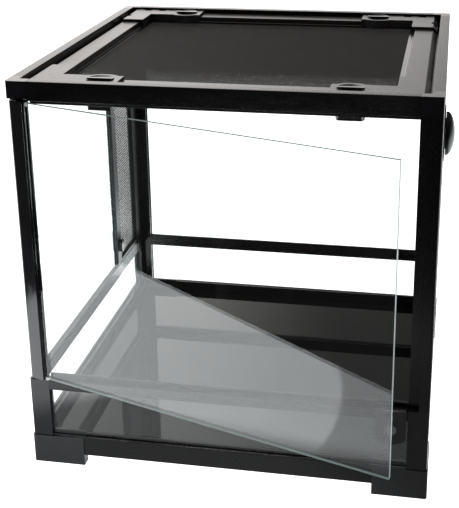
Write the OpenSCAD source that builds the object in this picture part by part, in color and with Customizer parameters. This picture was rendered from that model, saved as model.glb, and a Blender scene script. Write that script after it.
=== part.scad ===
// Glass terrarium tank for a small animal: a black frame of rails and corner posts, glass
// walls, a side-hinged glass front door, a lift-off screen lid held by four turn latches,
// a perforated side vent, a round side port and a key lock.
// The origin is at the middle of the tank's plan, on the plane that the feet stand on.
// +X is the tank's right, +Y its rear and +Z is up.

/* [Tank] */
// Width of the tank over the rails
tank_w = 450; // [446:1:456]
// Depth of the tank over the rails
tank_d = 440; // [436:1:446]
// Height of the tank from the floor to the top rim
tank_h = 455; // [450:1:460]
// Thickness of every glass pane
glass_t = 4; // [3:0.5:4]
// How deep a pane sits in the groove of a rail or a post
glass_seat = 3; // [2:0.5:3]

/* [Frame] */
// Width of the corner posts and corner blocks
post_w = 23; // [22:0.5:24]
// Radius on the outer upright edge of posts, blocks and feet
edge_r = 3; // [1:0.5:4]
// Depth of the base rails and mid rails
rail_t = 11; // [10:0.5:11.5]
// Underside of the base rails
base_rail_z = 13; // [12:0.5:14]
// Height of the base rails
base_rail_h = 23; // [22:0.5:24]
// Height of the lip behind the lower panes
base_lip_h = 1.5; // [1:0.5:4]
// Top of the floor panel
floor_top = 25; // [23:0.5:28]
// Length of a foot along each side
foot_l = 61; // [50:1:70]
// Side of the square pad that a foot stands on
foot_pad = 42; // [34:1:48]
// Height of the feet
foot_h = 35; // [34:0.5:35.5]
// Height of the lip on a foot's arms, behind the lower panes
foot_lip_h = 4; // [1:0.5:6]
// How far the feet stand out past the rails
foot_proud = 1; // [0.5:0.5:2]
// Top of the mid rails and of the lower posts
mid_rail_top = 107; // [105:0.5:108]
// Height of the mid rails
mid_rail_h = 12; // [11:0.5:13]
// Depth of the top rails
top_rail_t = 12; // [11.5:0.5:12.5]
// Height of the top rails
top_rail_h = 21; // [20:0.5:22]
// Height of the corner blocks between the top rails
top_corner_h = 19; // [18:0.5:20]
// Depth of the rebate that the door closes into
rebate = 8; // [8:0.1:8.3]
// Height of the stop lip behind the rebate
lip_h = 5; // [4:0.5:5.5]

/* [Front door] */
// How far the door stands open at rest, in degrees
door_open = 18.1; // [0:0.1:60]
// Width of the glass that shows beside the hinge stile
door_glass_w = 413.8; // [405:0.1:414]
// Hinge axis, measured in from the left side of the tank
hinge_in_x = 7; // [7:0.1:8]
// Hinge axis, measured in from the front of the tank
hinge_in_y = 5.5; // [5.5:0.1:5.6]
// Radius of the hinge pins
pin_r = 2; // [1.8:0.1:2.2]

/* [Screen lid] */
// Gap between the lid and the top rails
lid_gap = 3; // [2:0.5:3]
// Height of the lid bars above the ledge
lid_bar_h = 11.2; // [10:0.1:12]
// Width of the lid bars
lid_bar_w = 28; // [26:0.5:29]
// How much higher the corner pieces stand than the bars
lid_corner_rise = 3.2; // [2:0.1:4]
// Width of the slope down the lid's outer sides
lid_slope_w = 5.5; // [2:0.5:6]
// Radius of the latch knobs
knob_r = 14; // [12:0.5:14]

/* [Vent, port and lock] */
// Front edge of the vent frame, measured from the middle of the tank
vent_front = 90; // [85:1:110]
// Side port: distance in front of the middle of the tank
port_forward = 100; // [80:1:120]
// Side port: height of its centre
port_z = 383; // [340:1:385]
// Radius of the side port's dome
dome_r = 23.8; // [21:0.1:25]
// Lock: distance of its centre right of the middle of the tank
lock_x = 184; // [150:1:184]
// Lock: height of its key cylinder
lock_z = 86.5; // [84:0.5:87]

/* [Hidden] */

$fn = 64;
cut = 1; // how far a cutting shape runs past the face it opens

half_w = tank_w / 2;
half_d = tank_d / 2;
glass_in = 3.5; // outer face of the frame to the outer face of a fixed pane
running = 0.05; // radial clearance of a turning pin in its bore
black = "#1b191a";
grey_black = "#343236";
dark = "#0d0d0e";
clear = [0.80, 0.88, 0.86, 0.30];

// Levels of the frame
base_rail_top = base_rail_z + base_rail_h;
mid_rail_z = mid_rail_top - mid_rail_h;
floor_z = floor_top - glass_t;
floor_ledge_in = rail_t + 6; // inner edge of the base rails' ledge, from the frame's outer face
top_rail_z = tank_h - top_rail_h;
top_corner_z = tank_h - top_corner_h;
ledge_z = top_rail_z + 4; // the lid rests on this face of the top rails
ledge_in = top_rail_t + 8; // inner edge of the ledge, from the frame's outer face

// Hinge and door
hinge_x = hinge_in_x - half_w;
hinge_y = hinge_in_y - half_d;
stile_r = hinge_in_y; // the stile's hinge edge is round about the pin
stile_w = 14;
stile_lip_w = 1.5;
stile_z = mid_rail_top + 1.5;
stile_top = top_rail_z - 0.5;
pane_edge = 8.5; // buried edge of the door glass, from the hinge axis
door_glass_z = mid_rail_top + 2.3;
door_glass_top = top_rail_z - 2.1;
pin_depth = 10;
pin_reach = 9.5;
bush_r = 3.5;
bush_l = 10;
bush_flange_r = 4.5;
bush_flange_t = 1.2;
clip_run = 3.5; // length of a pane clip along the glass
clip_up = 3.5; // height of a pane clip on the glass
clip_skin = 0.8;

// Lid
lid_half_w = half_w - top_rail_t - lid_gap;
lid_half_d = half_d - top_rail_t - lid_gap + 0.5;
lid_z = ledge_z + 0.3;
lid_bar_top = lid_z + lid_bar_h;
lid_corner_top = lid_bar_top + lid_corner_rise;
arm_x = 110; // end of a corner piece's front or rear arm
arm_y = 133; // end of a corner piece's side arm
arm_gap = 0.5; // joint between a corner piece and a bar
corner_in_x = 32.5;
corner_in_y = 31.5;
lid_slope_h = 6;
mesh_z = lid_z + 2.7;
mesh_t = 0.8;
mesh_seat = 4;

// Latches
latch_x = 131;
latch_y = 190;
bulge_r = 22;
knob_gap = 0.6;
knob_floor = lid_corner_top - 5.7;
knob_top = tank_h - 0.7;
shaft_r = 4;
cam_r = 15;
cam_flat = 9;
cam_z = 421;
cam_top = top_rail_z - 0.5;

// Vent
vent_end = half_d - post_w + glass_seat;
vent_bar = 15;
vent_low_bar = 9;
vent_edge_bar = 16;
screen_t = 1;
clip_w = 9;
clip_l = 18;
clip_t = 5;
clip_y = vent_front + vent_bar / 2;
clip_z = 140;

// Side port
neck_r = 20;
neck_bore = 17;
flange_r = 31;
flange_t = 5;
nut_r = 26;
nut_t = 4;
dome_h = 10;

// Lock
lock_w = 33;
lock_low = 68;
lock_proud = 5.5;
lock_round = 27; // radius of the housing's lower edge
lock_saddle = 1.3;
lip_cap_drop = 4; // how far the lip's cap reaches down its back
cylinder_r = 6.5;
bolt_w = 15.4;
bolt_t = 2.4;
bolt_play = 0.3;
bolt_travel = 6.5;
crank = bolt_travel / 2 / sin(45);
crank_pin_r = 1.5;

// ---------- placing ----------

// Local x runs along the side, local y from the outer face inward
module on_side(side) {
    turn = side == "front" ? 0 : side == "right" ? 90 : side == "rear" ? 180 : -90;
    reach = (side == "front" || side == "rear") ? half_d : half_w;
    rotate([0, 0, turn]) translate([0, -reach, 0]) children();
}

// Local x and y run inward from the outer corner; right and rear are 1 or 0
module at_corner(right, rear) {
    translate([right ? half_w : -half_w, rear ? half_d : -half_d, 0])
        mirror([right, 0, 0]) mirror([0, rear, 0])
            children();
}

// Local x and y run inward from the lid's outer corner
module at_lid_corner(right, rear) {
    translate([right ? lid_half_w : -lid_half_w, rear ? lid_half_d : -lid_half_d, 0])
        mirror([right, 0, 0]) mirror([0, rear, 0])
            children();
}

// Local x runs from the hinge axis along the door, local y from its front to its back
module on_door() {
    translate([hinge_x, hinge_y, 0]) rotate([0, 0, -door_open]) children();
}

// Local z points out of the right side, local x to the rear and local y up
module on_port() {
    translate([0, -port_forward, port_z]) rotate([90, 0, 90]) children();
}

// Local z points out of the front
module on_lock() {
    translate([lock_x, 0, lock_z]) rotate([90, 0, 0]) children();
}

// ---------- shared shapes ----------

// A bar of length l, centred, with its section drawn as depth and height
module extrusion(l, section) {
    rotate([90, 0, 90]) translate([0, 0, -l / 2]) linear_extrude(l) polygon(section);
}

// A square with its outer corner, the one at the origin, rounded
module corner_section(w, d) {
    translate([edge_r, 0]) square([w - edge_r, d]);
    translate([0, edge_r]) square([w, d - edge_r]);
    translate([edge_r, edge_r]) circle(edge_r);
}

// An angle whose two legs are as thick as the rails that end on them
module post_section() {
    difference() {
        corner_section(post_w, post_w);
        translate([rail_t, rail_t]) square(post_w);
    }
}

function inner_length(side) =
    (side == "front" || side == "rear" ? tank_w : tank_d) - 2 * post_w;

// ---------- glass ----------

module lower_pane(side) {
    l = inner_length(side) + 2 * glass_seat;
    low = base_rail_top - glass_seat;
    on_side(side) translate([-l / 2, glass_in, low])
        cube([l, glass_t, mid_rail_z + glass_seat - low]);
}

upper_pane_z = mid_rail_top - glass_seat;
upper_pane_h = top_rail_z + glass_seat - upper_pane_z;
front_post_back = 12 + rail_t; // rear face of the front left post

module rear_pane() {
    l = inner_length("rear") + 2 * glass_seat;
    on_side("rear") translate([-l / 2, glass_in, upper_pane_z]) cube([l, glass_t, upper_pane_h]);
}

module left_pane() {
    front = front_post_back - glass_seat - half_d;
    translate([glass_in - half_w, front, upper_pane_z])
        cube([glass_t, vent_front - front, upper_pane_h]);
}

module right_pane() {
    l = inner_length("right") + 2 * glass_seat;
    difference() {
        on_side("right") translate([-l / 2, glass_in, upper_pane_z])
            cube([l, glass_t, upper_pane_h]);
        on_port() translate([0, 0, half_w - glass_in - glass_t - cut])
            cylinder(r = neck_r, h = glass_t + 2 * cut);
    }
}

// Every fixed pane, used to cut the grooves in the frame
module fixed_panes() {
    for (side = ["front", "rear", "left", "right"]) lower_pane(side);
    rear_pane();
    left_pane();
    right_pane();
    vent_board();
}

module lower_glass_front() { color(clear) lower_pane("front"); }
module lower_glass_rear() { color(clear) lower_pane("rear"); }
module lower_glass_sides() { color(clear) { lower_pane("left"); lower_pane("right"); } }
module rear_glass() { color(clear) rear_pane(); }
module left_glass() { color(clear) left_pane(); }
module right_glass() { color(clear) right_pane(); }

// ---------- base ----------

// Corner foot: a square pad and two lipped arms that carry on the rails and seat the post
module foot(right, rear) {
    arm = rail_t + foot_proud;
    seat = post_w + foot_proud;
    color(black) difference() {
        at_corner(right, rear) translate([-foot_proud, -foot_proud, 0]) {
            linear_extrude(floor_z) corner_section(foot_pad, foot_pad);
            linear_extrude(foot_h) {
                corner_section(foot_l, arm);
                corner_section(arm, foot_l);
            }
            linear_extrude(foot_h + foot_lip_h) {
                translate([seat, rebate + foot_proud]) square([foot_l - seat, rail_t - rebate]);
                translate([rebate + foot_proud, seat]) square([rail_t - rebate, foot_l - seat]);
            }
        }
        fixed_panes();
    }
}

// A bar with a ledge for the floor panel and a low lip behind the pane's groove
module base_rail(side) {
    l = 2 * ((side == "front" || side == "rear" ? half_w : half_d) - foot_l + foot_proud);
    section = [
        [0, base_rail_z], [floor_ledge_in, base_rail_z], [floor_ledge_in, floor_z], [rail_t, floor_z],
        [rail_t, base_rail_top + base_lip_h], [rebate, base_rail_top + base_lip_h],
        [rebate, base_rail_top], [0, base_rail_top]
    ];
    color(black) difference() {
        on_side(side) extrusion(l, section);
        fixed_panes();
    }
}

module floor_panel() {
    inside_w = tank_w - 2 * rail_t;
    inside_d = tank_d - 2 * rail_t;
    color(dark) translate([-inside_w / 2, -inside_d / 2, floor_z])
        cube([inside_w, inside_d, glass_t]);
}

// ---------- posts and mid rails ----------

module lower_post(right, rear) {
    hinge_corner = right + rear == 0;
    color(grey_black) difference() {
        at_corner(right, rear) translate([0, 0, foot_h])
            linear_extrude(mid_rail_top - foot_h) post_section();
        fixed_panes();
        if (hinge_corner) translate([hinge_x, hinge_y, mid_rail_top - bush_l])
            cylinder(r = bush_r, h = bush_l + cut);
    }
}

// A plain bar with a stop lip standing up behind the rebate
module mid_rail(side) {
    section = [
        [0, mid_rail_z], [rail_t, mid_rail_z], [rail_t, mid_rail_top + lip_h],
        [rebate, mid_rail_top + lip_h], [rebate, mid_rail_top], [0, mid_rail_top]
    ];
    color(black) difference() {
        on_side(side) extrusion(inner_length(side), section);
        fixed_panes();
    }
}

module upper_post(right, rear) {
    color(black) difference() {
        at_corner(right, rear) translate([0, 0, mid_rail_top])
            linear_extrude(top_corner_z - mid_rail_top) post_section();
        fixed_panes();
    }
}

// The door closes into a rebate down this post's inner front edge
module upper_post_fr() {
    color(black) difference() {
        upper_post(1, 0);
        at_corner(1, 0) translate([12, -cut, mid_rail_top - cut])
            cube([post_w, rebate + cut, tank_h]);
    }
}

// A slim post behind the door's hinge stile
module upper_post_fl() {
    color(black) difference() {
        at_corner(0, 0) translate([0, 12, mid_rail_top])
            cube([stile_w, front_post_back - 12, top_corner_z - mid_rail_top]);
        fixed_panes();
    }
}

// ---------- top frame ----------

module top_rail(side) {
    section = [
        [0, top_rail_z], [rebate, top_rail_z], [rebate, top_rail_z - lip_h],
        [top_rail_t, top_rail_z - lip_h], [top_rail_t, top_rail_z], [ledge_in, top_rail_z],
        [ledge_in, ledge_z], [top_rail_t, ledge_z], [top_rail_t, tank_h], [0, tank_h]
    ];
    color(black) difference() {
        on_side(side) extrusion(inner_length(side), section);
        fixed_panes();
    }
}

module top_corner(right, rear) {
    hinge_corner = right + rear == 0;
    color(black) difference() {
        at_corner(right, rear) translate([0, 0, top_corner_z])
            linear_extrude(top_corner_h) corner_section(post_w, post_w);
        at_corner(right, rear) translate([top_rail_t, top_rail_t, ledge_z])
            cube([post_w, post_w, tank_h]);
        fixed_panes();
        if (hinge_corner) translate([hinge_x, hinge_y, top_corner_z - cut])
            cylinder(r = bush_r, h = bush_l + cut);
    }
}

// ---------- side vent ----------

// The flat board of the vent, as thick as the glass that it stands beside
module vent_board() {
    translate([glass_in - half_w, vent_front, upper_pane_z])
        cube([glass_t, vent_end - vent_front, upper_pane_h]);
}

module vent_sheet() {
    low = mid_rail_top + vent_low_bar;
    high = top_rail_z - lip_h - 2;
    front = vent_front + vent_bar;
    back = half_d - post_w - vent_edge_bar + 3;
    translate([glass_in - half_w + 2, front - glass_seat, low - glass_seat])
        cube([screen_t, back - front + glass_seat, high - low + 2 * glass_seat]);
}

module vent_frame() {
    low = mid_rail_top + vent_low_bar;
    high = top_rail_z - lip_h - 2;
    front = vent_front + vent_bar;
    back = half_d - post_w - vent_edge_bar;
    inner_x = glass_in + glass_t - half_w;
    lip_clear = 0.5;
    color(black) difference() {
        union() {
            vent_board();
            translate([inner_x - cut, vent_front, mid_rail_top + lip_h + lip_clear])
                cube([3 + cut, half_d - post_w - vent_front, high + 2 - lip_clear - mid_rail_top - lip_h]);
        }
        translate([-half_w, front, low]) cube([rail_t + cut, back - front, high - low]);
        vent_sheet();
        translate([inner_x - cut, clip_y, clip_z]) rotate([0, 90, 0])
            cylinder(r = pin_r + running, h = 5);
    }
}

module vent_screen() { color(black) vent_sheet(); }

// A turn button on the inside of the vent frame, with its pivot
module vent_clip() {
    face_x = glass_in + glass_t + 3 - half_w;
    end_z = (clip_l - clip_w) / 2;
    color(dark) translate([face_x, clip_y, clip_z]) rotate([0, 90, 0]) {
        translate([0, 0, 0.2]) linear_extrude(clip_t) {
            for (end = [-1, 1]) translate([end * end_z, 0]) circle(clip_w / 2);
            square([2 * end_z, clip_w], center = true);
        }
        translate([0, 0, -2.8]) cylinder(r = pin_r, h = 3.4);
    }
}

// ---------- side port ----------

// Outer flange with its neck through the glass, and the ring nut inside
module side_port_flange() {
    face = half_w - glass_in;
    color(dark) on_port() difference() {
        union() {
            translate([0, 0, face]) cylinder(r = flange_r, h = flange_t);
            translate([0, 0, face - glass_t - nut_t]) cylinder(r = neck_r, h = glass_t + nut_t + cut);
            translate([0, 0, face - glass_t - nut_t]) cylinder(r = nut_r, h = nut_t, $fn = 8);
        }
        translate([0, 0, face - glass_t - nut_t - cut])
            cylinder(r = neck_bore + running, h = glass_t + nut_t + flange_t + 2 * cut);
    }
}

// Domed cap with a plug that turns in the neck
module side_port_cap() {
    face = half_w - glass_in;
    sphere_r = (dome_r * dome_r + dome_h * dome_h) / (2 * dome_h);
    rim = 0.3;
    color(dark) on_port() {
        translate([0, 0, face - glass_t]) cylinder(r = neck_bore, h = glass_t + flange_t + rim + cut);
        translate([0, 0, face + flange_t + rim]) intersection() {
            cylinder(r = dome_r, h = dome_h);
            translate([0, 0, dome_h - sphere_r]) sphere(sphere_r);
        }
    }
}

// ---------- front door ----------

module hinge_bushes() {
    low = mid_rail_top - bush_l;
    color(dark) translate([hinge_x, hinge_y, 0]) {
        difference() {
            union() {
                translate([0, 0, low]) cylinder(r = bush_r, h = bush_l);
                translate([0, 0, mid_rail_top]) cylinder(r = bush_flange_r, h = bush_flange_t);
            }
            translate([0, 0, low - cut]) cylinder(r = pin_r + running, h = 2 * bush_l);
        }
        difference() {
            union() {
                translate([0, 0, top_corner_z]) cylinder(r = bush_r, h = bush_l);
                translate([0, 0, top_corner_z - bush_flange_t])
                    cylinder(r = bush_flange_r, h = bush_flange_t);
            }
            translate([0, 0, top_corner_z - bush_l]) cylinder(r = pin_r + running, h = 3 * bush_l);
        }
    }
}

module pin_pair() {
    translate([0, 0, stile_z - pin_reach]) cylinder(r = pin_r, h = pin_reach + pin_depth);
    translate([0, 0, stile_top - pin_depth]) cylinder(r = pin_r, h = pin_reach + pin_depth);
}

module hinge_pins() { color("silver") on_door() pin_pair(); }

module door_pane() {
    visible_edge = stile_w + stile_lip_w;
    translate([pane_edge, -glass_t / 2, door_glass_z])
        cube([visible_edge - pane_edge + door_glass_w, glass_t, door_glass_top - door_glass_z]);
}

module door_glass() { color(clear) on_door() door_pane(); }

// Small angles over the pane's front face and edge, beside the stile, low and high
module pane_clips() {
    front = -glass_t / 2 - clip_skin;
    side = stile_w + stile_lip_w;
    color("#e8e6e0") on_door() difference() {
        for (z = [door_glass_z - clip_skin, door_glass_top + clip_skin - clip_up])
            translate([side, front, z]) cube([clip_run, glass_t + clip_skin, clip_up]);
        door_pane();
    }
}

// Upright with a round hinge edge and a stepped channel for the glass
module door_stile() {
    lip_half = 3.4;
    color(dark) on_door() difference() {
        translate([0, 0, stile_z]) linear_extrude(stile_top - stile_z) {
            circle(stile_r);
            translate([0, -stile_r]) square([stile_w, 2 * stile_r]);
            translate([0, -lip_half]) square([stile_w + stile_lip_w, 2 * lip_half]);
        }
        translate([pane_edge, -glass_t / 2, stile_z - cut]) cube([stile_w, glass_t, tank_h]);
        pin_pair();
    }
}

// ---------- lock ----------

bolt_front = half_d + lock_proud - 2.7; // front face of the bolt, measured forward
crank_z = lock_z - bolt_travel / 2; // height of the crank pin at rest
bolt_low = crank_z - 4.5;
bolt_top = mid_rail_top + 0.5;
cavity_low = bolt_low - 1;

// Rounded plate below the rail, with a saddle over it and a pocket for the bolt, and a loose
// cap over the stop lip behind it
module lock_housing() {
    front = half_d + lock_proud;
    top = mid_rail_top + lock_saddle;
    color(dark) translate([lock_x - lock_w / 2, -half_d, mid_rail_top + lip_h - lip_cap_drop])
        difference() {
            translate([0, rebate, 0]) cube([lock_w, rail_t - rebate + 1, lip_cap_drop + 1]);
            translate([-cut, rebate - cut, -cut]) cube([tank_w, rail_t - rebate + cut, lip_cap_drop + cut]);
        }
    color(dark) difference() {
        intersection() {
            translate([lock_x - lock_w / 2, -front, lock_low])
                cube([lock_w, front - half_d + rebate - 1, top - lock_low]);
            translate([lock_x, -front - cut, lock_low + lock_round]) rotate([-90, 0, 0])
                linear_extrude(front) {
                    circle(lock_round);
                    translate([-lock_round, -lock_round * 2]) square([2 * lock_round, 2 * lock_round]);
                }
        }
        translate([-half_w, -half_d, mid_rail_z]) cube([tank_w, tank_d, mid_rail_h]);
        translate([-half_w, glass_in - half_d, 0]) cube([tank_w, tank_d, mid_rail_z + cut]);
        on_lock() translate([0, 0, bolt_front + 0.5]) cylinder(r = cylinder_r + running, h = 20);
        translate([lock_x - bolt_w / 2 - bolt_play, -bolt_front - bolt_play, cavity_low])
            cube([bolt_w + 2 * bolt_play, bolt_t + 2 * bolt_play, tank_h]);
        on_lock() translate([0, 0, bolt_front - bolt_t]) cylinder(r = cylinder_r + 0.5, h = bolt_t + 1);
    }
}

// Key cylinder with a crank pin on its inner end
module lock_cylinder() {
    face = half_d + lock_proud + 1;
    key_w = 1.8;
    key_h = 8;
    color("#222224") on_lock() {
        difference() {
            translate([0, 0, bolt_front + 0.7]) cylinder(r = cylinder_r, h = face - bolt_front - 0.7);
            translate([-key_w / 2, -key_h / 2, face - 1.5]) cube([key_w, key_h, 5]);
        }
        translate([crank * cos(45), -crank * sin(45), bolt_front - bolt_t + 0.2])
            cylinder(r = crank_pin_r, h = bolt_t + 1);
    }
}

module lock_bolt() {
    pin_x = crank * cos(45);
    color("silver") difference() {
        translate([lock_x - bolt_w / 2, -bolt_front, bolt_low])
            cube([bolt_w, bolt_t, bolt_top - bolt_low]);
        translate([lock_x + pin_x - 2.4, -bolt_front - cut, crank_z - crank_pin_r - 0.4])
            cube([crank - pin_x + 4.8, bolt_t + 2 * cut, 2 * crank_pin_r + 0.8]);
    }
}

// ---------- lid ----------

module mesh_sheet() {
    half_x = lid_half_w - lid_bar_w + mesh_seat;
    half_y = lid_half_d - lid_bar_w + mesh_seat;
    translate([-half_x, -half_y, mesh_z]) cube([2 * half_x, 2 * half_y, mesh_t]);
}

// The wedges cut from the lid's left and right edges, for a piece whose top is at that height
module side_slopes(top) {
    run = lid_slope_w * (1 + cut / lid_slope_h);
    drop = lid_slope_h * (1 + cut / lid_slope_w);
    for (right = [0, 1]) mirror([right, 0, 0]) translate([-lid_half_w, 0, top])
        rotate([90, 0, 0]) linear_extrude(tank_d, center = true)
            polygon([[-cut, cut], [-cut, -drop], [run, cut]]);
}

module lid_bar(side) {
    long = side == "front" || side == "rear";
    l = 2 * ((long ? arm_x : arm_y) - arm_gap);
    edge = long ? half_d - lid_half_d : half_w - lid_half_w;
    color(black) difference() {
        on_side(side) translate([-l / 2, edge, lid_z]) cube([l, lid_bar_w, lid_bar_h]);
        mesh_sheet();
        if (!long) side_slopes(lid_bar_top);
    }
}

// L-shaped corner piece with a boss round its latch; the rear pair has cable recesses
module lid_corner(right, rear) {
    latch_in = [lid_half_w - latch_x, lid_half_d - latch_y];
    color(black) difference() {
        at_lid_corner(right, rear) difference() {
            translate([0, 0, lid_z]) linear_extrude(lid_corner_top - lid_z) intersection() {
                corner_section(lid_half_w - arm_x, lid_half_d);
                union() {
                    square([lid_half_w, corner_in_y]);
                    square([corner_in_x, lid_half_d - arm_y]);
                    translate(latch_in) circle(bulge_r);
                }
            }
            translate([latch_in.x, latch_in.y, knob_floor]) cylinder(r = knob_r + knob_gap, h = 20);
            translate([latch_in.x, latch_in.y, lid_z - cut]) cylinder(r = shaft_r + running, h = 20);
            if (rear) {
                for (x = [16, 36]) translate([x, -cut, lid_corner_top - 6]) cube([10, 9, 20]);
                translate([-cut, 40, lid_corner_top - 6]) cube([9, 10, 20]);
            }
        }
        mesh_sheet();
        side_slopes(lid_corner_top);
    }
}

module lid_mesh() { color("#3a3536") mesh_sheet(); }

// Dished knob with a grip bar, its shaft, and a flat-sided cam that hooks under the ledge
module latch(right, rear) {
    dish_r = 40;
    grip = 4;
    low = knob_floor + 0.3;
    at_lid_corner(right, rear) color(dark)
        translate([lid_half_w - latch_x, lid_half_d - latch_y, 0]) {
            difference() {
                translate([0, 0, low]) cylinder(r = knob_r, h = knob_top - low);
                difference() {
                    translate([0, 0, knob_top + dish_r - 3]) sphere(dish_r, $fn = 96);
                    translate([-knob_r, -grip / 2, 0]) cube([2 * knob_r, grip, 2 * tank_h]);
                }
            }
            translate([0, 0, cam_top - 1]) cylinder(r = shaft_r, h = low - cam_top + 2);
            translate([0, 0, cam_z]) intersection() {
                cylinder(r = cam_r, h = cam_top - cam_z);
                translate([-cam_r, -cam_flat, 0]) cube([2 * cam_r, cam_r + cam_flat, cam_top - cam_z]);
            }
        }
}

// ---------- nodes ----------

foot(0, 0);  // foot_fl
foot(1, 0);  // foot_fr
foot(0, 1);  // foot_rl
foot(1, 1);  // foot_rr
base_rail("front");  // base_rail_front
base_rail("rear");  // base_rail_rear
union() { base_rail("left"); base_rail("right"); }  // base_rail_sides
floor_panel();
lower_post(0, 0);  // lower_post_fl
lower_post(1, 0);  // lower_post_fr
lower_post(0, 1);  // lower_post_rl
lower_post(1, 1);  // lower_post_rr
mid_rail("front");  // mid_rail_front
mid_rail("rear");  // mid_rail_rear
mid_rail("left");  // mid_rail_left
mid_rail("right");  // mid_rail_right
lower_glass_front();
lower_glass_rear();
lower_glass_sides();
upper_post_fl();
upper_post_fr();
upper_post(0, 1);  // upper_post_rl
upper_post(1, 1);  // upper_post_rr
rear_glass();
left_glass();
right_glass();
top_rail("front");  // top_rail_front
top_rail("rear");  // top_rail_rear
top_rail("left");  // top_rail_left
top_rail("right");  // top_rail_right
top_corner(0, 0);  // top_corner_fl
top_corner(1, 0);  // top_corner_fr
top_corner(0, 1);  // top_corner_rl
top_corner(1, 1);  // top_corner_rr
vent_frame();
vent_screen();
vent_clip();
side_port_flange();
side_port_cap();
hinge_bushes();
door_glass();
door_stile();
hinge_pins();
pane_clips();
lock_housing();
lock_cylinder();
lock_bolt();
lid_bar("front");  // lid_bar_front
lid_bar("rear");  // lid_bar_rear
lid_bar("left");  // lid_bar_left
lid_bar("right");  // lid_bar_right
lid_corner(0, 0);  // lid_corner_fl
lid_corner(1, 0);  // lid_corner_fr
lid_corner(0, 1);  // lid_corner_rl
lid_corner(1, 1);  // lid_corner_rr
lid_mesh();
latch(0, 0);  // latch_fl
latch(1, 0);  // latch_fr
latch(0, 1);  // latch_rl
latch(1, 1);  // latch_rr
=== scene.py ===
import math

import bpy
from mathutils import Matrix, Vector


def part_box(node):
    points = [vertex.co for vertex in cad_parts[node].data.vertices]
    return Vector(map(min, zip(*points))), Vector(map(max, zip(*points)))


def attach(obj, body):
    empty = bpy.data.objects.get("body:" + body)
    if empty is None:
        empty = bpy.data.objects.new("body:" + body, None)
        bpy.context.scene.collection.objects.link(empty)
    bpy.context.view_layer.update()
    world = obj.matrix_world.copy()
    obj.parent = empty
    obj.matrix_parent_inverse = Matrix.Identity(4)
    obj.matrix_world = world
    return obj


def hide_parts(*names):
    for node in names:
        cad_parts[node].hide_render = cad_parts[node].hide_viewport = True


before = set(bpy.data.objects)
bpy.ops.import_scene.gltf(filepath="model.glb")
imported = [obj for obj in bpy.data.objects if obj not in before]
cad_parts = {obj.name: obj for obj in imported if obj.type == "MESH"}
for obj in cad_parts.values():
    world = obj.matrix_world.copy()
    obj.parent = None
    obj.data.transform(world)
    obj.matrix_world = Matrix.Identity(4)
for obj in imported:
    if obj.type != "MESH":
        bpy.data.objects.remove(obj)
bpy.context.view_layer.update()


# ---------- corner feet ----------
# Four moulded plastic feet carry the corners. Each is a plate under the floor with two arms that
# carry on the base rails. They are pressed over the rail ends; the outside has a fine moulded grain.

MM = 0.001


class Value:
    """One output of a finish's nodes. Arithmetic on it adds Math nodes."""

    def __init__(self, finish, socket):
        self.finish, self.socket = finish, socket

    def math(self, operation, *terms):
        return self.finish.node("ShaderNodeMath", {"operation": operation}, dict(enumerate(terms)))

    def __add__(self, other):
        return self.math("ADD", self, other)

    def __sub__(self, other):
        return self.math("SUBTRACT", self, other)

    def __rsub__(self, other):
        return self.math("SUBTRACT", other, self)

    def __mul__(self, other):
        return self.math("MULTIPLY", self, other)

    def __pow__(self, other):
        return self.math("POWER", self, other)

    def __abs__(self):
        return self.math("ABSOLUTE", self)

    __radd__, __rmul__ = __add__, __mul__

    def at_least(self, low):
        return self.math("MAXIMUM", self, low)

    def between(self, low, high):
        """0 below low, 1 above high and a smooth rise from one to the other."""
        settings = {"interpolation_type": "SMOOTHSTEP"}
        return self.finish.node("ShaderNodeMapRange", settings, {0: self, 1: low, 2: high})


class Finish:
    """A node material, or the world, under construction."""

    def __init__(self, owner):
        owner.use_nodes = True
        self.owner, self.tree = owner, owner.node_tree
        self.tree.nodes.clear()

    def node(self, kind, settings=None, inputs=None, output=0):
        """Adds a node and gives back one of its outputs, or nothing where output is None."""
        made = self.tree.nodes.new(kind)
        for name, value in (settings or {}).items():
            setattr(made, name, value)
        for name, value in (inputs or {}).items():
            if isinstance(value, Value):
                self.tree.links.new(value.socket, made.inputs[name])
            else:
                made.inputs[name].default_value = value
        return None if output is None else Value(self, made.outputs[output])

    def parts(self, vector):
        """The x, y and z of a vector."""
        split = self.node("ShaderNodeSeparateXYZ", None, {0: vector})
        return [Value(self, part) for part in split.socket.node.outputs]

    def place(self, scale=(1, 1, 1)):
        """Position on the piece in metres, stretched by scale."""
        spot = self.node("ShaderNodeTexCoord", output="Object")
        return self.node("ShaderNodeVectorMath", {"operation": "MULTIPLY"}, {0: spot, 1: scale})

    def noise(self, size, detail=2.0, scale=(1, 1, 1)):
        """Soft noise from 0 to 1 with grains of about that size in metres."""
        inputs = {"Vector": self.place(scale), "Scale": 1 / size, "Detail": detail}
        return self.node("ShaderNodeTexNoise", {"normalize": True}, inputs)

    def blend(self, factor, first, second):
        """From the first colour at factor 0 to the second at 1."""
        settings = {"data_type": "RGBA"}
        return self.node("ShaderNodeMix", settings, {0: factor, 6: first, 7: second}, output=2)

    def bump(self, height, depth, strength=1.0):
        inputs = {"Height": height, "Distance": depth, "Strength": strength}
        return self.node("ShaderNodeBump", None, inputs)

    def finished(self, shader, kind="ShaderNodeOutputMaterial"):
        self.node(kind, None, {"Surface": shader}, output=None)
        return self.owner


def colour(red, green, blue):
    return (red, green, blue, 1.0)


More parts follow.
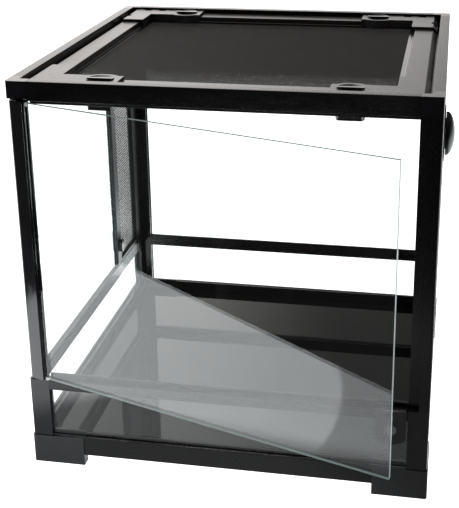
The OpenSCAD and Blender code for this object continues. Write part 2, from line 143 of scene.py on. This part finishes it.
def moulded_plastic(name, dark, pale, gloss, grain, grain_depth, specular=0.5):
    """Black moulded plastic: cloudy tone, a fine spark-eroded grain and faint rub marks."""
    paint = Finish(bpy.data.materials.new(name))
    cloud = paint.noise(45 * MM, 3.0)
    fine = paint.noise(grain, 2.0)
    rubs = paint.noise(7 * MM, 4.0, (1, 1, 0.35)).between(0.56, 0.74)
    tone = paint.blend(cloud.between(0.3, 0.75), dark, pale)
    rough = gloss + fine * 0.10 + rubs * 0.06
    shader = paint.node("ShaderNodeBsdfPrincipled", None, {
        "Base Color": tone, "Roughness": rough, "IOR": 1.5, "Specular IOR Level": specular,
        "Normal": paint.bump(fine, grain_depth)})
    return paint.finished(shader)


SHARP_EDGE = math.radians(32)
WELD_REACH = 0.005 * MM
FLAT_FACE_WEIGHT = 80


def dress(names, finish, edge=0.0, steps=2):
    """Gives CAD nodes their finish, and softens their sharp edges by that width in metres."""
    for name in names:
        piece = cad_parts[name]
        piece.data.materials.clear()
        piece.data.materials.append(finish)
        for face in piece.data.polygons:
            face.use_smooth = True
        weld = piece.modifiers.new("weld", "WELD")
        weld.merge_threshold = WELD_REACH
        if edge:
            bevel = piece.modifiers.new("edges", "BEVEL")
            bevel.width, bevel.segments = edge, steps
            bevel.limit_method, bevel.angle_limit = "ANGLE", SHARP_EDGE
            bevel.use_clamp_overlap = True
        shade = piece.modifiers.new("shade", "WEIGHTED_NORMAL")
        shade.mode, shade.weight = "FACE_AREA", FLAT_FACE_WEIGHT


CORNERS = ("fl", "fr", "rl", "rr")
foot_black = moulded_plastic("foot_plastic", colour(0.012, 0.012, 0.014), colour(0.020, 0.019, 0.022),
                             0.30, 0.35 * MM, 0.02 * MM)
dress(["foot_" + corner for corner in CORNERS], foot_black, 0.8 * MM)


# ---------- rails and upper posts ----------
# Black painted aluminium extrusions: base rails, mid rails, top rails and the upper posts. They
# show faint lengthwise drawing lines and are pushed onto the corner blocks.

DRAWN_STRETCH = 0.012


def drawn_metal(name, along, dark, pale, gloss, specular):
    """Painted extrusion with drawing lines that run along the given axis."""
    paint = Finish(bpy.data.materials.new(name))
    stretch = [DRAWN_STRETCH if axis == along else 1.0 for axis in range(3)]
    lines = paint.noise(0.9 * MM, 2.0, stretch)
    orange_peel = paint.noise(1.6 * MM, 1.0)
    cloud = paint.noise(60 * MM, 2.0)
    tone = paint.blend(cloud, dark, pale)
    height = lines * 0.7 + orange_peel * 0.3
    shader = paint.node("ShaderNodeBsdfPrincipled", None, {
        "Base Color": tone, "Roughness": gloss + lines * 0.10 + orange_peel * 0.06,
        "IOR": 1.5, "Specular IOR Level": specular, "Normal": paint.bump(height, 0.012 * MM)})
    return paint.finished(shader)


rail_black = [
    drawn_metal("rail_black_" + axis, index, colour(0.0035, 0.0030, 0.0034),
                colour(0.006, 0.0052, 0.0058), 0.20, 0.32)
    for index, axis in enumerate(("across", "deep", "upright"))
]
dress(["base_rail_front", "base_rail_rear", "mid_rail_front", "mid_rail_rear",
       "top_rail_front", "top_rail_rear"], rail_black[0], 0.6 * MM)
dress(["base_rail_sides", "mid_rail_left", "mid_rail_right", "top_rail_left", "top_rail_right"],
      rail_black[1], 0.6 * MM)
dress(["upper_post_" + corner for corner in CORNERS], rail_black[2], 0.6 * MM)


# ---------- corner blocks ----------
# Moulded plastic pieces join the rails: the lower posts, which are angles, and the blocks of the
# top frame. They are glossier than the rails, and the rails are pushed on to their two legs.

block_black = moulded_plastic("corner_plastic", colour(0.006, 0.0056, 0.0072),
                              colour(0.012, 0.0108, 0.014), 0.14, 0.5 * MM, 0.008 * MM, 0.36)
dress(["lower_post_" + corner for corner in CORNERS], block_black, 0.7 * MM)
dress(["top_corner_" + corner for corner in CORNERS], block_black, 0.7 * MM)


# ---------- floor panel ----------
# A sheet of black glass lies on the feet inside the base rails and closes the tank's bottom.
# It mirrors the rails above it and carries a little dust.

floor_black = Finish(bpy.data.materials.new("floor_glass"))
dust = floor_black.noise(0.5 * MM, 3.0).between(0.60, 0.80)
haze = floor_black.noise(80 * MM, 3.0)
floor_shader = floor_black.node("ShaderNodeBsdfPrincipled", None, {
    "Base Color": floor_black.blend(dust * haze, colour(0.004, 0.0042, 0.0045),
                                    colour(0.03, 0.03, 0.03)),
    "Roughness": 0.015 + haze * 0.03 + dust * 0.05, "IOR": 1.3})
dress(["floor_panel"], floor_black.finished(floor_shader), 0.4 * MM)


# ---------- fixed panes ----------
# Clear 4 mm float glass, set in grooves in the rails and posts. The faces are bright and clean
# with faint wipe marks; the ground edges are pale green-grey, with a painted glow on them that is
# bright on the lower edges, and painted shade that darkens the upper edges.

MIRRORED_HEAD_ON = 0.043
WIPE_MARKS = 0.012


def clear_glass(name, facing):
    """Float glass whose large faces look along the given direction; its other faces are edges.

    Seen through the pane, the lower edge carries a bright painted glow for the light that runs down
    inside the glass; the other edges carry a faint painted glow, and the upper edge is painted dark as
    shade."""
    pane = Finish(bpy.data.materials.new(name))
    tilt = pane.node("ShaderNodeLayerWeight", None, {"Blend": 0.5}, output="Facing")
    mirrored = MIRRORED_HEAD_ON + (1 - MIRRORED_HEAD_ON) * tilt ** 5
    wipes = pane.noise(30 * MM, 4.0, (1, 1, 0.3)).between(0.5, 0.9)
    see_through = pane.node("ShaderNodeBsdfTransparent", None, {"Color": colour(0.972, 0.984, 0.980)})
    gloss = pane.node("ShaderNodeBsdfGlossy", None, {"Color": colour(1, 1, 1), "Roughness": 0.0})
    film = pane.node("ShaderNodeBsdfDiffuse", None, {"Color": colour(0.75, 0.78, 0.78)})
    face = pane.node("ShaderNodeMixShader", None, {0: mirrored, 1: see_through, 2: gloss})
    face = pane.node("ShaderNodeMixShader", None, {0: wipes * WIPE_MARKS, 1: face, 2: film})
    direction = pane.node("ShaderNodeTexCoord", output="Normal")
    along = pane.node("ShaderNodeVectorMath", {"operation": "DOT_PRODUCT"},
                      {0: direction, 1: facing}, output="Value")
    downward = pane.node("ShaderNodeVectorMath", {"operation": "DOT_PRODUCT"},
                         {0: direction, 1: (0, 0, -1)}, output="Value")
    grind = pane.noise(0.8 * MM, 2.0)
    ground = pane.blend(grind, colour(0.26, 0.33, 0.31), colour(0.40, 0.48, 0.45))
    # Painted light on the edges: the upper edge is painted dark as shade, every edge glows faintly and
    # the lower edge glows brightly.
    upper_edge_painted_shade = (0 - downward).between(0.5, 0.9)
    lower_edge_painted_glow = downward.between(0.8, 0.95)
    edge = pane.node("ShaderNodeBsdfPrincipled", None, {
        "Base Color": pane.blend(upper_edge_painted_shade, ground, colour(0.02, 0.03, 0.028)),
        "Roughness": 0.25 + grind * 0.2, "IOR": 1.5, "Emission Strength": 1.0,
        "Emission Color": pane.blend(lower_edge_painted_glow, colour(0.08, 0.11, 0.105), colour(0.78, 0.83, 0.82))})
    is_edge = 1 - abs(along).between(0.4, 0.6)
    return pane.finished(pane.node("ShaderNodeMixShader", None, {0: is_edge, 1: face, 2: edge}))


glass_across = clear_glass("clear_glass_across", (0, 1, 0))
glass_deep = clear_glass("clear_glass_deep", (1, 0, 0))
ARRIS = 0.4 * MM
dress(["lower_glass_front", "lower_glass_rear", "rear_glass"], glass_across, ARRIS, 1)
dress(["lower_glass_sides", "left_glass", "right_glass"], glass_deep, ARRIS, 1)


# ---------- side vent ----------
# A moulded frame stands in the left wall beside the glass and holds a perforated steel sheet,
# painted black, in a groove. A turn button sits on its inner face.

vent_black = moulded_plastic("vent_black", colour(0.012, 0.012, 0.013), colour(0.020, 0.019, 0.021),
                             0.28, 0.4 * MM, 0.015 * MM)
dress(["vent_frame"], vent_black, 0.5 * MM)

HOLE_PITCH = 4.0 * MM
HOLE_RADIUS = 1.2 * MM
HOLE_SIDES = 12
SHEET_THICKNESS = 0.4 * MM


def perforated_sheet(name, low, high):
    """A sheet across x, punched with staggered round holes; cells that don't fit are left out."""
    corner_reach = HOLE_PITCH / math.sqrt(3)
    row_step = HOLE_PITCH * math.sqrt(3) / 2
    rows = int((high.z - low.z) / row_step)
    columns = int((high.y - low.y) / HOLE_PITCH) - 1
    points, index, faces, rim = [], {}, [], {}

    def point(y, z):
        key = (round(y * 1e6), round(z * 1e6))
        if key not in index:
            index[key] = len(points)
            points.append((y, z))
        return index[key]

    for row in range(rows):
        for column in range(columns):
            y = low.y + (column + 1 + 0.5 * (row % 2)) * HOLE_PITCH
            z = low.z + (row + 0.75) * row_step
            turn = [math.tau * k / HOLE_SIDES for k in range(HOLE_SIDES)]
            hole = [point(y + HOLE_RADIUS * math.cos(t), z + HOLE_RADIUS * math.sin(t)) for t in turn]
            cell = [point(y + corner_reach * math.cos(t), z + corner_reach * math.sin(t))
                    for t in turn[1::2]]
            for k in range(6):
                first, second = cell[k], cell[(k + 1) % 6]
                inner = [hole[(2 * k + step) % HOLE_SIDES] for step in (3, 2, 1)]
                faces.append([first, second] + inner)
                edge = (min(first, second), max(first, second))
                rim[edge] = None if edge in rim else (first, second)
            for k in range(HOLE_SIDES):
                rim[("hole", row, column, k)] = (hole[(k + 1) % HOLE_SIDES], hole[k])
    count = len(points)
    inner_x = (low.x + high.x + SHEET_THICKNESS) / 2
    verts = [(inner_x, y, z) for y, z in points]
    verts += [(inner_x - SHEET_THICKNESS, y, z) for y, z in points]
    back = [[corner + count for corner in reversed(face)] for face in faces]
    walls = [(a + count, b + count, b, a) for a, b in filter(None, rim.values())]
    mesh = bpy.data.meshes.new(name)
    mesh.from_pydata(verts, [], faces + back + walls)
    return mesh


def add_piece(name, mesh, finish, body, replaced=(), smooth=False):
    """Links a new mesh as a piece that rides on a body and may stand for CAD nodes."""
    piece = bpy.data.objects.new(name, mesh)
    bpy.context.scene.collection.objects.link(piece)
    mesh.materials.append(finish)
    mesh.validate()
    if smooth:
        mesh.shade_smooth()
    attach(piece, body)
    if replaced:
        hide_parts(*replaced)
    return piece


def painted_wire(name, dark, pale, gloss):
    """Thick black paint on steel: a soft sheen with small thick and thin places."""
    paint = Finish(bpy.data.materials.new(name))
    blobs = paint.noise(0.6 * MM, 2.0)
    cloud = paint.noise(35 * MM, 3.0)
    shader = paint.node("ShaderNodeBsdfPrincipled", None, {
        "Base Color": paint.blend(cloud * 0.7 + blobs * 0.3, dark, pale),
        "Roughness": gloss + blobs * 0.15, "IOR": 1.5, "Normal": paint.bump(blobs, 0.01 * MM)})
    return paint.finished(shader)


vent_low, vent_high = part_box("vent_screen")
vent_metal = painted_wire("vent_metal", colour(0.012, 0.011, 0.011), colour(0.022, 0.020, 0.020), 0.30)
add_piece("perforated_vent", perforated_sheet("perforated_vent", vent_low, vent_high), vent_metal,
          "tank", ["vent_screen"])

fitting_black = moulded_plastic("fitting_black", colour(0.008, 0.0078, 0.009),
                                colour(0.014, 0.013, 0.015), 0.10, 0.6 * MM, 0.006 * MM)
dress(["vent_clip"], fitting_black, 0.6 * MM, 3)


# ---------- side port ----------
# A round black fitting goes through the right pane. An outer flange and a ring nut inside clamp
# the glass, and a domed cap with fine ribs closes it and turns in its neck.

port_black = moulded_plastic("port_black", colour(0.004, 0.0037, 0.0042), colour(0.008, 0.0074, 0.0082),
                             0.30, 0.4 * MM, 0.01 * MM, 0.18)
dress(["side_port_flange"], port_black, 0.8 * MM, 3)

port_low, port_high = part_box("side_port_cap")
port_y, port_z = (port_low.y + port_high.y) / 2, (port_low.z + port_high.z) / 2
dome_radius = (port_high.y - port_low.y) / 2
flange_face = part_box("side_port_flange")[1].x
RIBS = 60
RIB_DEPTH = 0.5 * MM
DOME_EDGE = 1.2 * MM
DOME_STEPS = 26
PLUG_RADIUS = 17 * MM
FLANGE_GAP = 0.3 * MM
CHAMFER = 0.5 * MM


def ribbed_cap(name):
    """The cap turned about x: a plug, a knurled rim, and a dome with fine rings on it."""
    dome_base = flange_face + FLANGE_GAP
    rise = port_high.x - dome_base
    rings = [(port_low.x, 0.0, 0), (port_low.x, PLUG_RADIUS - CHAMFER, 0),
             (port_low.x + CHAMFER, PLUG_RADIUS, 0), (dome_base, PLUG_RADIUS, 0),
             (dome_base, dome_radius - CHAMFER, 0), (dome_base + CHAMFER, dome_radius, 0)]
    for step in range(DOME_STEPS + 1):
        lift = step / DOME_STEPS
        across = math.cos(lift * math.pi / 2)
        height = dome_base + DOME_EDGE + (rise - DOME_EDGE) * math.sin(lift * math.pi / 2)
        groove = RIB_DEPTH * 0.5 * (step % 2) if 2 < step < DOME_STEPS - 6 else 0
        rings.append((height - groove, dome_radius * across, 1 if step < 4 else 0))
    sides = RIBS * 4
    verts, faces = [], []
    for x, radius, ribbed in rings:
        for side in range(sides):
            turn = math.tau * side / sides
            notch = RIB_DEPTH * ribbed * (0.5 - 0.5 * math.cos(turn * RIBS))
            reach = max(radius - notch, 0.02 * MM)
            verts.append((x, port_y + reach * math.cos(turn), port_z + reach * math.sin(turn)))
    for ring in range(len(rings) - 1):
        for side in range(sides):
            a, b = ring * sides + side, ring * sides + (side + 1) % sides
            faces.append((a, b, b + sides, a + sides))
    faces.append(tuple(reversed(range(sides))))
    faces.append(tuple(range((len(rings) - 1) * sides, len(rings) * sides)))
    mesh = bpy.data.meshes.new(name)
    mesh.from_pydata(verts, [], faces)
    return mesh


add_piece("ribbed_port_cap", ribbed_cap("ribbed_port_cap"), port_black, "side_port_cap",
          ["side_port_cap"], smooth=True)


# ---------- front door ----------
# One pane hinged at the left. A glossy black extrusion is bonded along its hinge edge, and steel
# pins in its two ends turn in black bushes pressed into the corner blocks. Small white nylon
# angles cover the pane's corners beside the extrusion.

stile_black = moulded_plastic("stile_black", colour(0.008, 0.0078, 0.009), colour(0.013, 0.012, 0.014),
                              0.05, 1.2 * MM, 0.004 * MM)
dress(["door_stile"], stile_black, 0.5 * MM, 3)

DOOR_OPEN = math.radians(18.1)
door_normal = (math.sin(DOOR_OPEN), math.cos(DOOR_OPEN), 0)
dress(["door_glass"], clear_glass("clear_glass_door", door_normal), ARRIS, 1)

nylon = Finish(bpy.data.materials.new("white_nylon"))
nylon_cloud = nylon.noise(2 * MM, 3.0)
nylon_shader = nylon.node("ShaderNodeBsdfPrincipled", None, {
    "Base Color": nylon.blend(nylon_cloud, colour(0.78, 0.77, 0.73), colour(0.88, 0.87, 0.84)),
    "Roughness": 0.35 + nylon_cloud * 0.1, "IOR": 1.5, "Normal": nylon.bump(nylon_cloud, 0.02 * MM)})
dress(["pane_clips"], nylon.finished(nylon_shader), 0.2 * MM)
dress(["hinge_bushes"], fitting_black, 0.2 * MM)


def turned_metal(name, dark, pale, gloss, along):
    """Bright metal with fine turning marks round the given axis."""
    paint = Finish(bpy.data.materials.new(name))
    marks = paint.noise(0.25 * MM, 2.0, [1.0 if axis == along else 0.1 for axis in range(3)])
    shader = paint.node("ShaderNodeBsdfPrincipled", None, {
        "Base Color": paint.blend(marks, dark, pale), "Metallic": 1.0,
        "Roughness": gloss + marks * 0.12, "Normal": paint.bump(marks, 0.004 * MM)})
    return paint.finished(shader)


pin_steel = turned_metal("pin_steel", colour(0.42, 0.42, 0.42), colour(0.60, 0.60, 0.59), 0.22, 2)
dress(["hinge_pins"], pin_steel, 0.2 * MM)


# ---------- key lock ----------
# A small black housing is clipped over the front mid rail at the right. Its plated key cylinder
# drives a flat steel bolt that rises behind the door's lower edge.

dress(["lock_housing"], fitting_black, 0.9 * MM, 3)
lock_metal = turned_metal("lock_metal", colour(0.10, 0.10, 0.105), colour(0.30, 0.31, 0.32), 0.16, 1)
dress(["lock_cylinder"], lock_metal, 0.25 * MM)
dress(["lock_bolt"], pin_steel, 0.2 * MM)


# ---------- screen lid ----------
# A lift-off plastic frame: four bars and four corner pieces snapped together round a fine steel
# mesh. The satin tops catch the light; a cord pressed into a groove holds the mesh, and a flat
# black strip round the mesh's edge is painted shade along the bars.

lid_black = moulded_plastic("lid_plastic", colour(0.010, 0.0095, 0.010), colour(0.018, 0.0165, 0.017),
                            0.24, 0.45 * MM, 0.018 * MM)
dress(["lid_bar_front", "lid_bar_rear", "lid_bar_left", "lid_bar_right"], lid_black, 0.8 * MM, 3)
dress(["lid_corner_" + corner for corner in CORNERS], lid_black, 0.8 * MM, 3)

WIRE_PITCH = 1.6 * MM
WIRE_RADIUS = 0.2 * MM
WIRE_SIDES = 6
mesh_low, mesh_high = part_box("lid_mesh")


def wire_screen(name):
    """Straight wires both ways, the second layer lying on the first."""
    verts, faces = [], []

    def wire(start, end, side_way):
        base = len(verts)
        for tip in (start, end):
            for k in range(WIRE_SIDES):
                turn = math.tau * k / WIRE_SIDES
                verts.append(tip + WIRE_RADIUS * (side_way * math.cos(turn) + up * math.sin(turn)))
        for k in range(WIRE_SIDES):
            n = (k + 1) % WIRE_SIDES
            faces.append((base + k, base + n, base + WIRE_SIDES + n, base + WIRE_SIDES + k))
        faces.append(tuple(base + k for k in reversed(range(WIRE_SIDES))))
        faces.append(tuple(base + WIRE_SIDES + k for k in range(WIRE_SIDES)))

    up = Vector((0, 0, 1))
    middle_z = (mesh_low.z + mesh_high.z) / 2
    across_z, deep_z = middle_z + WIRE_RADIUS, middle_z - WIRE_RADIUS
    for k in range(int((mesh_high.y - mesh_low.y) / WIRE_PITCH)):
        y = mesh_low.y + (k + 0.5) * WIRE_PITCH
        wire(Vector((mesh_low.x, y, across_z)), Vector((mesh_high.x, y, across_z)), Vector((0, -1, 0)))
    for k in range(int((mesh_high.x - mesh_low.x) / WIRE_PITCH)):
        x = mesh_low.x + (k + 0.5) * WIRE_PITCH
        wire(Vector((x, mesh_low.y, deep_z)), Vector((x, mesh_high.y, deep_z)), Vector((1, 0, 0)))
    mesh = bpy.data.meshes.new(name)
    mesh.from_pydata(verts, [], faces)
    return mesh


wire_black = painted_wire("mesh_wire", colour(0.020, 0.0165, 0.016), colour(0.036, 0.030, 0.029), 0.46)
add_piece("wire_screen", wire_screen("wire_screen"), wire_black, "lid", ["lid_mesh"])

# Half section of the cord that holds the mesh and of a flat black strip under it, which is painted
# shade along the bars, in mm: (inset, height)
CORD_AND_SHADE_STRIP_SECTION = [(0, 0), (7, 0), (7, 0.35), (3, 0.35), (3, 1.7),
                    (2.5, 2.3), (1.5, 2.5), (0.5, 2.3), (0, 1.7)]


def cord_and_shade_strip(name):
    """The cord and the painted-shade strip, carried round the inside of the lid's bars, mitred at the
    corners.
    """
    half_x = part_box("lid_bar_right")[0].x
    half_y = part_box("lid_bar_rear")[0].y
    verts, faces = [], []
    for right, rear in ((-1, -1), (1, -1), (1, 1), (-1, 1)):
        for inset, rise in CORD_AND_SHADE_STRIP_SECTION:
            verts.append((right * (half_x - inset * MM), rear * (half_y - inset * MM),
                          mesh_high.z + rise * MM))
    count = len(CORD_AND_SHADE_STRIP_SECTION)
    for corner in range(4):
        for k in range(count):
            a, b = corner * count + k, corner * count + (k + 1) % count
            c, d = (a + count) % (4 * count), (b + count) % (4 * count)
            faces.append((a, c, d, b))
    mesh = bpy.data.meshes.new(name)
    mesh.from_pydata(verts, [], faces)
    return mesh


# The cord holds the mesh; the flat black strip inside it is painted shade along the lid's bars.
add_piece("mesh_cord_and_shade_strip", cord_and_shade_strip("mesh_cord_and_shade_strip"), fitting_black, "lid")


# ---------- turn latches ----------
# Four glossy knobs sit in round recesses in the lid's corner pieces. Each is dished with a grip
# bar across it, and turns a flat-sided cam under the rim to hold the lid down.

dress(["latch_" + corner for corner in CORNERS], fitting_black, 0.5 * MM, 3)


# ---------- studio ----------
# The tank stands on a white table in front of a white wall, and both look plain white. What its
# glossy faces mirror has light and shade: the table ends a short way in front of the tank and the
# room beyond is dark, which keeps the black faces black.

STUDIO_WHITE = 3.3
SEEN_WHITE = 1.9
PALE_GLOW, SHADE_GLOW, UNDER_GLOW = 1.75, 0.30, 0.50
TABLE_LEFT, TABLE_RIGHT = -0.61, 1.6
TABLE_FRONT, TABLE_REAR = -0.618, 2.4
POOL_X, POOL_Y, POOL_RADIUS = -0.327, -0.345, 0.342
POOL_EDGE = 0.004


def lit_surface(paint, glow, shade_of_white, kind, output):
    """Glows with the studio's pattern in reflections and as light, and plain white when seen."""
    pattern = paint.node(kind, None, {"Color": shade_of_white, "Strength": glow})
    plain = paint.node(kind, None, {"Color": colour(1, 1, 1), "Strength": SEEN_WHITE})
    seen = paint.node("ShaderNodeLightPath", output="Is Camera Ray")
    shown = paint.node("ShaderNodeMixShader", None, {0: seen, 1: pattern, 2: plain})
    return paint.finished(shown, output)


def white_table():
    """Table top: a bright pool at the front left, shade close to the tank and light behind it."""
    mesh = bpy.data.meshes.new("table")
    mesh.from_pydata([(TABLE_LEFT, TABLE_FRONT, 0), (TABLE_RIGHT, TABLE_FRONT, 0),
                      (TABLE_RIGHT, TABLE_REAR, 0), (TABLE_LEFT, TABLE_REAR, 0)], [], [(0, 1, 2, 3)])
    table = bpy.data.objects.new("table", mesh)
    bpy.context.scene.collection.objects.link(table)
    paper = Finish(bpy.data.materials.new("white_paper"))
    x, y, z = paper.parts(paper.place())
    right_of_pool = (x - POOL_X).at_least(0)
    ahead_of_pool = (POOL_Y - y).at_least(0)
    reach = (right_of_pool * right_of_pool + ahead_of_pool * ahead_of_pool) ** 0.5
    pool = 1 - reach.between(POOL_RADIUS - POOL_EDGE, POOL_RADIUS + POOL_EDGE)
    far = PALE_GLOW + (STUDIO_WHITE - PALE_GLOW) * pool
    near = SHADE_GLOW + UNDER_GLOW * (0.56 * y - 0.83 * x).between(-0.33, -0.19)
    lit = (-0.447 * x - 0.894 * y).between(0.39, 0.44)
    front = near * (1 - lit) + far * lit
    beside = x.between(0.28, 0.45) * (1 - x.between(0.50, 0.62)) * (1 - y.between(0.25, 0.5))
    distant = y.between(0.45, 0.70) * (1 - x.between(0.30, 0.50))
    behind = STUDIO_WHITE * (1 - 0.9 * beside) * (1 - 0.85 * distant)
    open_floor = y.between(-0.22, -0.16)
    glow = front * (1 - open_floor) + behind * open_floor
    mesh.materials.append(lit_surface(paper, glow, colour(0.955, 0.985, 1.0),
                                      "ShaderNodeEmission", "ShaderNodeOutputMaterial"))


white_table()

room = Finish(bpy.data.worlds.new("studio"))
bpy.context.scene.world = room.owner
across, back, up = room.parts(room.node("ShaderNodeTexCoord", output="Generated"))
leftward = 1 - across.between(-0.30, 0.12)
wall = (0.9 + 1.3 * leftward) * (1 - 0.85 * across.between(0.05, 0.25))
shaded = up.between(0.30, 0.42) * across.between(-0.26, -0.08)
wall = wall * back.between(0.05, 0.40) * (1 - 0.78 * shaded)
side_light = 1.6 * (1 - across.between(-0.95, -0.70)) * back.between(-0.20, 0.05)
ceiling = 0.7 * up.between(0.60, 0.95)
lit_surface(room, 0.05 + wall + side_light + ceiling, colour(1.0, 0.965, 0.94),
            "ShaderNodeBackground", "ShaderNodeOutputWorld")

CAMERA_PLACE = (0.22703, -1.23773, 0.72481)
CAMERA_PAN, CAMERA_DROP, CAMERA_ROLL = (math.radians(turn) for turn in (10.364, 18.655, -0.493))
camera_data = bpy.data.cameras.new("camera")
camera_data.lens = 76.3
camera_data.sensor_width = 36.0
camera_data.shift_x, camera_data.shift_y = -0.0555, -0.1727
camera = bpy.data.objects.new("camera", camera_data)
bpy.context.scene.collection.objects.link(camera)
camera.matrix_world = (Matrix.Translation(CAMERA_PLACE)
                       @ Matrix.Rotation(CAMERA_PAN, 4, "Z")
                       @ Matrix.Rotation(math.pi / 2 - CAMERA_DROP, 4, "X")
                       @ Matrix.Rotation(CAMERA_ROLL, 4, "Z"))
bpy.context.scene.camera = camera
bpy.context.scene.view_settings.view_transform = "Standard"
bpy.context.scene.cycles.transparent_max_bounces = 32
